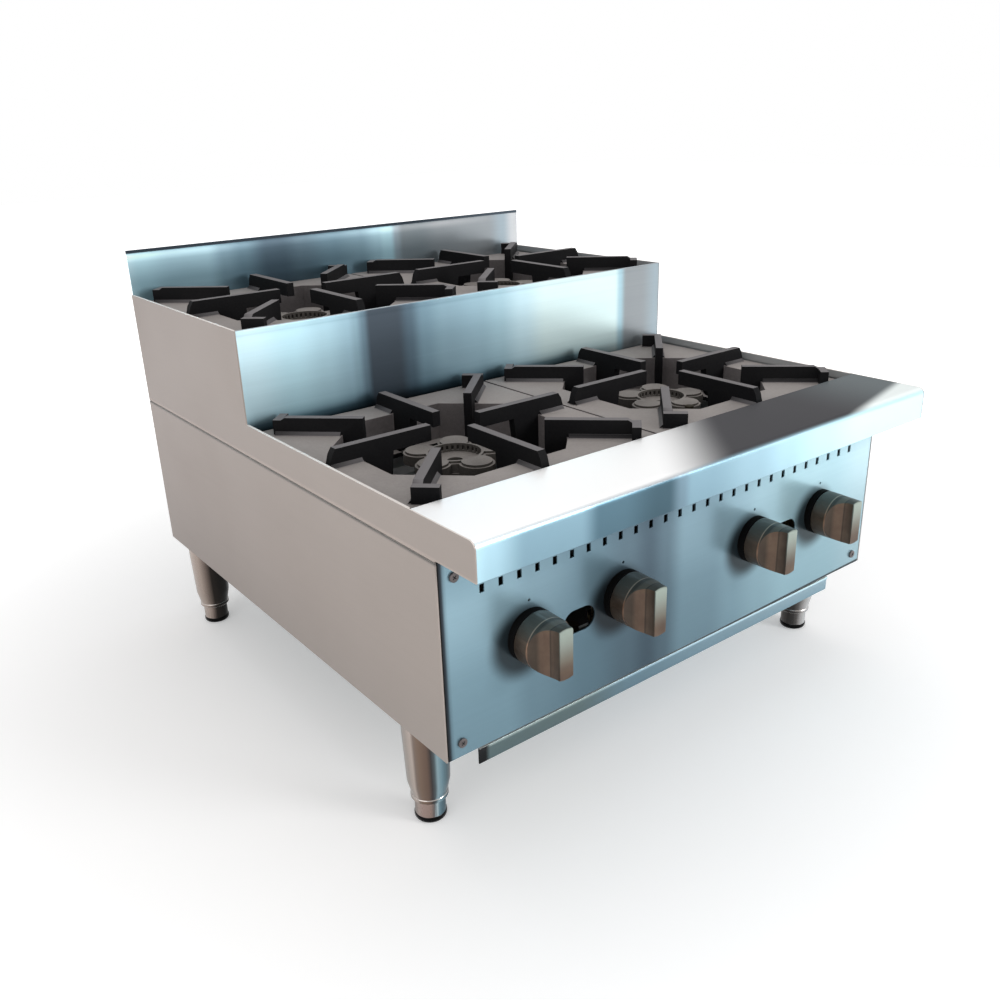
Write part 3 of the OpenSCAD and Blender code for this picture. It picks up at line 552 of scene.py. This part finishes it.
def plainMetal(name, look):
    # Turned or dipped metal: tone and roughness vary with the same soft marks; optional layers add painted light,
    # reflections and highlights
    finish = Finish(name, look["metallic"], look["rough"], look.get("gloss", plain["gloss"]))
    tree = finish.tree
    size = look.get("markSize", plain["markSize"])
    smudges = (finish.useGroup(handlingMarks, (-900, -100), "Size", size), "Mask")
    last = ramp(tree, (-500, 0), smudges, [(0.0, look["dark"]), (1.0, look["light"])])
    # Painted top light: faces turned up get a greyer, paler tone
    if "upperTone" in look:
        last = addFaces(finish, (-600, 300), last, "Z", turned["upper"], look["upperTone"])
    if "depthBands" in look:
        # Painted reflection bands on the concave flanks, with a painted highlight arc at the rim, by distance from
        # the panel
        bands = levelled(finish, (-700, 450), "Y", look["depthReach"], look["depthBands"])
        last = mixed(tree, (-220, 300), 1.0, last, bands, "MULTIPLY")
    # Painted highlight on the upper part of the grip's narrow front face
    if "faceTone" in look:
        high = within(tree, (-600, 600), (finish.at, "Z"), *look["faceZ"])
        near = within(tree, (-600, 800), (finish.at, "Y"), *look["faceY"])
        face = mathNode(tree, (-400, 700), "MULTIPLY", high, near)
        last = mixed(tree, (-150, 400), face, last, look["faceTone"])
    if "lowTone" in look:
        # Dark pad under a foot, laid below the painted reflection bands for its flat faces and again over them for
        # its wall
        soft = plain["lowSoft"]
        low = within(tree, (-600, 1000), (finish.at, "Z"), look["lowTop"] + soft, look["lowTop"] - soft)
        last = mixed(tree, (0, 600), low, last, look["lowTone"])
    # Painted reflection bands on the turned walls
    if "round" in look:
        last = addRoundReflections(finish, last, look["round"])
    if "lowTone" in look:
        last = mixed(tree, (0, 1300), low, last, look["lowTone"])
    feed(tree, last, finish.shader, "Base Color")
    rough = mapped(tree, (-200, -200), smudges, 0.0, 1.0,
                   look["rough"] - plain["shinier"], look["rough"] + plain["duller"])
    feed(tree, rough, finish.shader, "Roughness")
    finish.bump(noise(tree, (-200, -400), finish.place, plain["grit"]), *plain["bump"])
    return finish.material


# Tones of the sheet steel in linear light, for painted reflections: the front shows a blue room, the sides a warm
# wall
steelTones = {
    "bright": (1.0, 1.0, 1.0), "white": (0.94, 1.0, 0.99), "glow": (0.78, 0.97, 0.97), "ice": (0.63, 0.86, 0.94),
    "frost": (0.52, 0.78, 0.87), "sky": (0.44, 0.66, 0.75), "haze": (0.355, 0.54, 0.63), "mist": (0.28, 0.43, 0.51),
    "dusk": (0.20, 0.32, 0.39), "slate": (0.15, 0.23, 0.285), "steel": (0.10, 0.155, 0.20),
    "petrol": (0.082, 0.148, 0.190), "ink": (0.063, 0.083, 0.105), "tar": (0.052, 0.096, 0.124),
    "shadow": (0.075, 0.074, 0.080), "black": (0.012, 0.013, 0.015),
    "pearl": (0.60, 0.62, 0.64), "fog": (0.46, 0.51, 0.54), "cloud": (0.37, 0.45, 0.50),
    "silver": (0.33, 0.36, 0.38), "grey": (0.30, 0.30, 0.30), "ash": (0.27, 0.31, 0.33),
    "smoke": (0.20, 0.235, 0.245), "sage": (0.17, 0.235, 0.24),
    "shine": (0.84, 0.78, 0.74), "cream": (0.62, 0.56, 0.51), "sand": (0.385, 0.335, 0.305),
    "beige": (0.372, 0.318, 0.292),
}
# How closely the scratches lie along each axis, so that they run along the one with the low number
alongX = (9.0, 1800.0, 1800.0)
alongY = (1800.0, 9.0, 1800.0)
anyWay = (60.0, 60.0, 60.0)
# Painted reflections on the legs behind the left wall and at the right corner, by their facing across the view
backReflections = [
    (0.0, (0.20, 0.17, 0.15)), (0.12, (0.47, 0.40, 0.36)), (0.34, (0.40, 0.33, 0.29)),
    (0.52, (0.19, 0.15, 0.13)), (0.66, (0.03, 0.025, 0.022)), (1.0, (0.02, 0.02, 0.02)),
]
rightReflections = [
    (0.0, (0.10, 0.09, 0.085)), (0.16, (0.04, 0.036, 0.034)), (0.36, (0.05, 0.047, 0.045)),
    (0.50, (0.13, 0.12, 0.115)), (0.66, (0.40, 0.39, 0.385)), (0.85, (0.56, 0.57, 0.58)),
    (1.0, (0.28, 0.28, 0.29)),
]
# Sheets with painted reflections and shade of their own: tones across X, factors up Z, patches and a lip, all at
# places in millimetres
sheetLooks = {
    "front_panel": {
        "metal": 0.45, "rough": 0.235, "stretch": alongX, "level": 0.92,
        # Painted reflection bands across the panel; black at the left end is painted shade in the gap beside the
        # side sheet
        "across": [
            (-310, "black"), (-301.8, "black"), (-299.5, "ink"), (-297, "haze"), (-240, "haze"), (-205, "mist"),
            (-140, "dusk"), (-90, "slate"), (-60, "steel"), (-38, "slate"), (-10, "mist"), (30, "mist"),
            (65, "haze"), (110, "sky"), (160, "frost"), (230, "frost"), (300, "ice"),
        ],
        # Painted shade: darker towards the bottom
        "up": [
            (80, 0.62), (150, 0.68), (180, 0.72), (205, 0.84), (225, 0.94), (250, 1.0), (272, 0.86), (500, 0.84),
        ],
        "halos": {
            "centres": [(x - 0.008, 0, 0.195) for x in (-0.210, -0.096, 0.096, 0.210)],
            "inner": 0.024, "outer": 0.043, "depth": 0.88,
        },
        # Painted shade: a black line at the panel's bottom edge, above the tray
        "patches": [{"along": (0.012, 0.0, -1.0), "from": -107.9, "to": -107.3, "tone": "black", "amount": 0.9}],
    },
    "riser_panel": {
        "metal": 0.45, "rough": 0.32, "stretch": alongX, "level": 0.96, "topEdge": "fog", "behind": "ash",
        # Painted reflection bands across the riser
        "across": [
            (-310, "ice"), (-290, "ice"), (-245, "frost"), (-205, "sky"), (-178, "haze"), (-168, "mist"),
            (-158, "slate"), (-150, "ink"), (-115, "ink"), (-98, "steel"), (-80, "dusk"), (-50, "mist"),
            (0, "haze"), (30, "sky"), (65, "ice"), (105, "glow"), (222, "glow"), (232, "sky"),
            (242, "silver"), (270, "silver"), (300, "cloud"),
        ],
        # Painted shade: near black at the foot behind the grates, lighter upwards, with a dip under the top edge
        "up": [
            (80, 0.03), (325, 0.04), (331, 0.16), (338, 0.60), (346, 0.86), (355, 0.94), (370, 1.0), (390, 0.97),
            (412, 1.0), (424, 1.0), (426, 0.85), (428, 0.95), (500, 0.95),
        ],
        "upEnds": (150, 330),
    },
    "backsplash": {
        "metal": 0.45, "rough": 0.235, "stretch": alongX, "level": 1.05, "behind": "silver",
        # Painted reflection bands across the backsplash
        "across": [
            (-310, "ice"), (-290, "frost"), (-250, "sky"), (-205, "sky"), (-180, "mist"), (-155, "dusk"),
            (-120, "steel"), (-100, "steel"), (-70, "slate"), (-25, "dusk"), (20, "mist"), (50, "sky"),
            (60, "frost"), (70, "frost"), (80, "cloud"), (92, "ash"), (120, "ash"), (155, "silver"),
            (200, "silver"), (245, "silver"), (275, "cloud"), (295, "pearl"),
        ],
        # A dark line along the top hem
        "patches": [{"along": (0.0, 0.0, 1.0), "from": 480.8, "to": 481.8, "tone": "ink"}],
        # Painted highlight band just under the hem; darker below it and on the hem
        "up": [
            (80, 0.6), (445, 0.60), (455, 0.72), (463, 0.82), (470, 0.92), (474, 1.22), (478, 1.5), (480.5, 1.1),
            (482.0, 0.45), (500, 0.45),
        ],
        "upEnds": (100, 300),
    },
    "front_ledge": {
        "metal": 1.0, "rough": 0.32, "stretch": alongX, "level": 1.0, "streaks": 0.0, "gloss": 0.0,
        "markTint": (1.0, 1.0, 1.0), "across": [(-310, "bright"), (310, "bright")],
        # Painted reflections: a dark mirrored wall, a duller band towards the right end and a painted highlight in
        # the far right corner
        "patches": [
            {"along": (1.0, -0.83, 0.0), "from": 190, "to": 292, "tone": "shadow", "matt": 0.2},
            {"along": (1.0, 0.0, 0.0), "from": 150, "to": 300, "tone": "smoke", "amount": 0.7},
            {"along": (1.0, -4.0, 0.0), "from": 1600, "to": 1655, "tone": "white"},
        ],
        # Painted reflection bands on the lip and the other faces not turned up
        "lip": [
            (-310, "sky"), (-290, "haze"), (-255, "dusk"), (-200, "dusk"), (-178, "petrol"), (-155, "petrol"),
            (-110, "tar"), (-98, "tar"), (-80, "slate"), (-68, "dusk"), (-45, "dusk"), (20, "mist"), (65, "haze"),
            (120, "sky"), (190, "frost"), (310, "frost"),
        ],
    },
}
finishes = {
    "stainless_side": brushedSteel("stainlessSide", {
        # Painted reflection of a warm wall across X, painted highlight on top edges, paler towards the front
        "metal": 0.2, "rough": 0.42, "stretch": alongY, "streaks": 0.03, "level": 1.02, "topEdge": "shine",
        "patches": [{"along": (0.0, -1.0, 0.0), "from": -340, "to": 330, "tone": "cream", "amount": 0.3}],
        "markTint": (0.965, 0.96, 0.955), "across": [(-310, "beige"), (0, "sand"), (310, "silver")],
        # A dark seam line with a painted highlight line just above it
        "up": [
            (80, 0.92), (200, 1.0), (296.2, 1.0), (297.0, 0.12), (299.2, 0.12), (299.8, 1.15), (301.5, 1.15),
            (303, 1.0), (500, 1.0),
        ],
    }),
    "galvanised_inner": brushedSteel("galvanisedInner", {
        "metal": 0.7, "rough": 0.45, "stretch": anyWay, "streaks": 0.25, "level": 1.0,
        "across": [(-310, "grey"), (310, "grey")],
    }),
    "frame_steel": plainMetal("frameSteel", {
        "metallic": 0.0, "rough": 0.6, "dark": (0.02, 0.02, 0.02), "light": (0.04, 0.039, 0.037),
    }),
    "tray_steel": brushedSteel("traySteel", {
        "metal": 0.5, "rough": 0.235, "stretch": alongX, "level": 1.0, "topEdge": "white",
        # Painted reflection bands across the front, black at the left end
        "across": [
            (-310, "black"), (-252.5, "black"), (-251, "sage"), (-150, "sage"), (-60, "dusk"), (60, "mist"),
            (310, "haze"),
        ],
        # Painted highlight: a bright strip at the top of the front face, darker lower down
        "up": [(80, 0.74), (92.8, 0.82), (94.2, 2.0), (500, 2.0)],
    }),
    # Painted shade: the heat shield is near black because the inside of the body lies in shade
    "shield_soot": plainMetal("shieldSoot", {
        "metallic": 0.0, "rough": 0.7, "gloss": 0.1, "dark": (0.008, 0.008, 0.008), "light": (0.02, 0.019, 0.018),
    }),
    # Painted shade: near black for the cross recesses of the screw heads
    "recess_dark": plainMetal("recessDark", {
        "metallic": 0.0, "rough": 0.6, "gloss": 0.1, "dark": (0.010, 0.010, 0.011), "light": (0.025, 0.026, 0.027),
    }),
    # Painted shade: brass darkened because the pilot line lies in shade inside the body
    "pilot_brass": plainMetal("pilotBrass", {
        "metallic": 0.4, "rough": 0.6, "dark": (0.03, 0.024, 0.014), "light": (0.06, 0.048, 0.03),
    }),
    "supply_pipe": plainMetal("supplyPipe", {
        "metallic": 0.0, "rough": 0.5, "dark": (0.012, 0.012, 0.013), "light": (0.025, 0.025, 0.026),
    }),
    "brass_parts": plainMetal("brassParts", {
        "metallic": 0.8, "rough": 0.42, "dark": (0.20, 0.14, 0.06), "light": (0.34, 0.25, 0.12),
    }),
    "stem_steel": plainMetal("stemSteel", {
        "metallic": 1.0, "rough": 0.35, "dark": (0.25, 0.25, 0.25), "light": (0.40, 0.40, 0.40),
    }),
    "knob_bronze": plainMetal("knobBronze", {
        "metallic": 0.4, "rough": 0.42, "dark": (0.092, 0.057, 0.039), "light": (0.142, 0.095, 0.065),
        "markSize": 55.0, "upperTone": (0.13, 0.135, 0.118), "depthReach": (-357, -315),
        "depthBands": [
            (-356.2, 1.0), (-355.4, 0.72), (-347, 0.8), (-346, 0.45), (-345, 1.15), (-339, 1.05), (-336.5, 0.55),
            (-333.4, 0.6), (-332.9, 2.3), (-332.2, 2.3), (-331.6, 0.80), (-316, 0.68),
        ],
        "faceTone": (0.335, 0.395, 0.35), "faceZ": (0.182, 0.226), "faceY": (-0.3545, -0.3558),
    }),
    "bezel_black": plainMetal("bezelBlack", {
        "metallic": 0.0, "rough": 0.7, "gloss": 0.05, "dark": (0.003, 0.003, 0.003), "light": (0.006, 0.006, 0.006),
    }),
    # Cast looks: the walls carry painted shade, the tops painted light
    "burner_cast": castIron("burnerCast", {
        "rough": 0.62, "grit": 500.0, "bump": 0.5, "walls": [(0.02, 0.02, 0.02), (0.045, 0.043, 0.04)],
        "tops": [(0.04, 0.04, 0.038), (0.075, 0.073, 0.07)],
    }),
    "burner_head_cast": castIron("burnerHeadCast", {
        "rough": 0.6, "grit": 500.0, "bump": 0.5, "gloss": 0.15,
        "walls": [(0.045, 0.041, 0.037), (0.12, 0.108, 0.098)],
        "tops": [(0.19, 0.172, 0.160), (0.34, 0.308, 0.288)],
    }),
    "grate_cast": castIron("grateCast", {
        "rough": 0.6, "grit": 380.0, "bump": 0.45, "gloss": 0.06,
        "walls": [(0.006, 0.006, 0.007), (0.013, 0.0125, 0.013)],
        "tops": [(0.315, 0.287, 0.274), (0.415, 0.382, 0.367)],
        "bowls": [(0.15, 0.135, 0.135), (0.235, 0.213, 0.212)], "fingerTop": (0.195, 0.184, 0.188),
    }),
    "leg_steel": plainMetal("legSteel", {
        "metallic": 0.9, "rough": 0.22, "dark": (0.45, 0.42, 0.40), "light": (0.55, 0.52, 0.50), "markSize": 12.0,
        # Painted reflection bands around the leg
        "round": [
            (0.0, (0.13, 0.12, 0.12)), (0.06, (0.36, 0.32, 0.29)), (0.22, (0.48, 0.41, 0.37)),
            (0.28, (0.22, 0.175, 0.15)), (0.36, (0.21, 0.15, 0.115)), (0.54, (0.155, 0.105, 0.083)),
            (0.62, (0.06, 0.053, 0.052)), (0.69, (0.10, 0.125, 0.135)), (0.75, (0.31, 0.44, 0.49)),
            (0.83, (0.21, 0.34, 0.40)), (0.93, (0.10, 0.17, 0.205)), (1.0, (0.04, 0.06, 0.07)),
        ],
    }),
    "foot_grey": plainMetal("footSteel", {
        "metallic": 0.9, "rough": 0.25, "dark": (0.30, 0.28, 0.27), "light": (0.40, 0.38, 0.36),
        # Painted reflection bands around the foot
        "round": [
            (0.0, (0.20, 0.18, 0.17)), (0.15, (0.40, 0.33, 0.30)), (0.28, (0.36, 0.27, 0.24)),
            (0.55, (0.30, 0.22, 0.19)), (0.66, (0.14, 0.13, 0.13)), (0.74, (0.46, 0.58, 0.62)),
            (0.82, (0.16, 0.26, 0.31)), (1.0, (0.06, 0.11, 0.14)),
        ],
        "lowTone": (0.004, 0.004, 0.004), "lowTop": 0.0068,
    }),
    "screw_steel": plainMetal("screwSteel", {
        "metallic": 0.6, "rough": 0.35, "dark": (0.10, 0.088, 0.088), "light": (0.21, 0.18, 0.178),
    }),
}
for node, look in sheetLooks.items():
    finishes[node] = brushedSteel(node.split("_")[0] + "Sheet", look)
finishes["heat_shield"] = finishes["shield_soot"]
finishes["pilot_line_left"] = finishes["pilot_line_right"] = finishes["pilot_brass"]
print("finishes made:", len(finishes))


# Pieces that follow the solids, with their edges broken as on the real sheet and castings
edges = {"merge": 0.002 * mm, "flatAngle": 0.6, "sharpAngle": 32.0, "segments": 2, "width": 0.3 * mm}
edgeWidths = {
    "lower_side": 0.4 * mm, "upper_side": 0.4 * mm, "backsplash": 0.4 * mm, "front_ledge": 0.2 * mm,
    "grate": 1.4 * mm, "burner_head": 0.6 * mm, "burner_base": 0.8 * mm, "knob": 0.6 * mm, "leg": 0.4 * mm,
    "foot": 0.4 * mm, "panel_screws": 0.6 * mm,
}


def adopt(piece, node, stands=True):
    bpy.context.scene.collection.objects.link(piece)
    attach(piece, bodyOf[node])
    if stands:
        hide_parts(node)


def nameOf(node):
    words = node.split("_")
    return words[0] + "".join(w.capitalize() for w in words[1:])


def brokenEdges(node):
    # A merged copy of the solid: flat faces joined, smooth walls, sharp edges bevelled
    mesh = frame["nodes"][node].data.copy()
    build = bmesh.new()
    build.from_mesh(mesh)
    bmesh.ops.remove_doubles(build, verts=build.verts, dist=edges["merge"])
    flat = math.radians(edges["flatAngle"])
    bmesh.ops.dissolve_limit(build, angle_limit=flat, verts=build.verts, edges=build.edges)
    build.to_mesh(mesh)
    build.free()
    mesh.materials.clear()
    mesh.materials.append(finishes.get(node) or finishes[slotOf[node]])
    mesh.polygons.foreach_set("use_smooth", np.ones(len(mesh.polygons), bool))
    mesh.set_sharp_from_angle(angle=math.radians(edges["sharpAngle"]))
    piece = bpy.data.objects.new(nameOf(node), mesh)
    bevel = piece.modifiers.new("brokenEdges", "BEVEL")
    bevel.width = next((w for start, w in edgeWidths.items() if node.startswith(start)), edges["width"])
    bevel.segments = edges["segments"]
    bevel.limit_method = "ANGLE"
    bevel.angle_limit = math.radians(edges["sharpAngle"])
    bevel.harden_normals = True
    bevel.use_clamp_overlap = True
    adopt(piece, node)


for node in sorted(bodyOf):
    brokenEdges(node)
print("solids dressed")

# Cross recesses in the front panel's four pan heads, in metres; they reach a little into and out of the heads, near
# black as painted shade in the recesses
recess = {
    "sideX": 0.288, "headY": -0.3097, "rowsZ": (0.122, 0.281), "arm": 0.0021, "half": 0.00042, "inside": 0.0002,
    "proud": 0.00012,
}


def crossRecess():
    # A plus sign drawn as a ring of twelve corners and turned by 45 degrees, at two depths, closed at both ends
    a, h = recess["arm"], recess["half"]
    ring = np.array([(h, a), (h, h), (a, h), (a, -h), (h, -h), (h, -a), (-h, -a), (-h, -h), (-a, -h), (-a, h),
                     (-h, h), (-h, a)])
    ring = ring @ (math.sqrt(0.5) * np.array([(1, 1), (-1, 1)]))
    count = len(ring)
    layers, faces = [], []
    for sign in (-1, 1):
        for z in recess["rowsZ"]:
            near = len(layers) * count + np.arange(count)
            ahead = np.roll(near, -1)
            for depth in (recess["inside"], -recess["proud"]):
                y = np.full(count, recess["headY"] + depth)
                layers.append(np.column_stack([ring[:, 0] + sign * recess["sideX"], y, ring[:, 1] + z]))
            faces += np.column_stack([near, ahead, ahead + count, near + count]).tolist()
            faces += [near[::-1].tolist(), (near + count).tolist()]
    mesh = bpy.data.meshes.new("screwRecess")
    mesh.from_pydata(np.vstack(layers).tolist(), [], faces)
    build = bmesh.new()
    build.from_mesh(mesh)
    bmesh.ops.recalc_face_normals(build, faces=build.faces)
    bmesh.ops.triangulate(build, faces=build.faces)
    build.to_mesh(mesh)
    build.free()
    mesh.materials.append(finishes["recess_dark"])
    adopt(bpy.data.objects.new("screwRecess", mesh), "panel_screws", stands=False)


crossRecess()
print("screw recesses made")
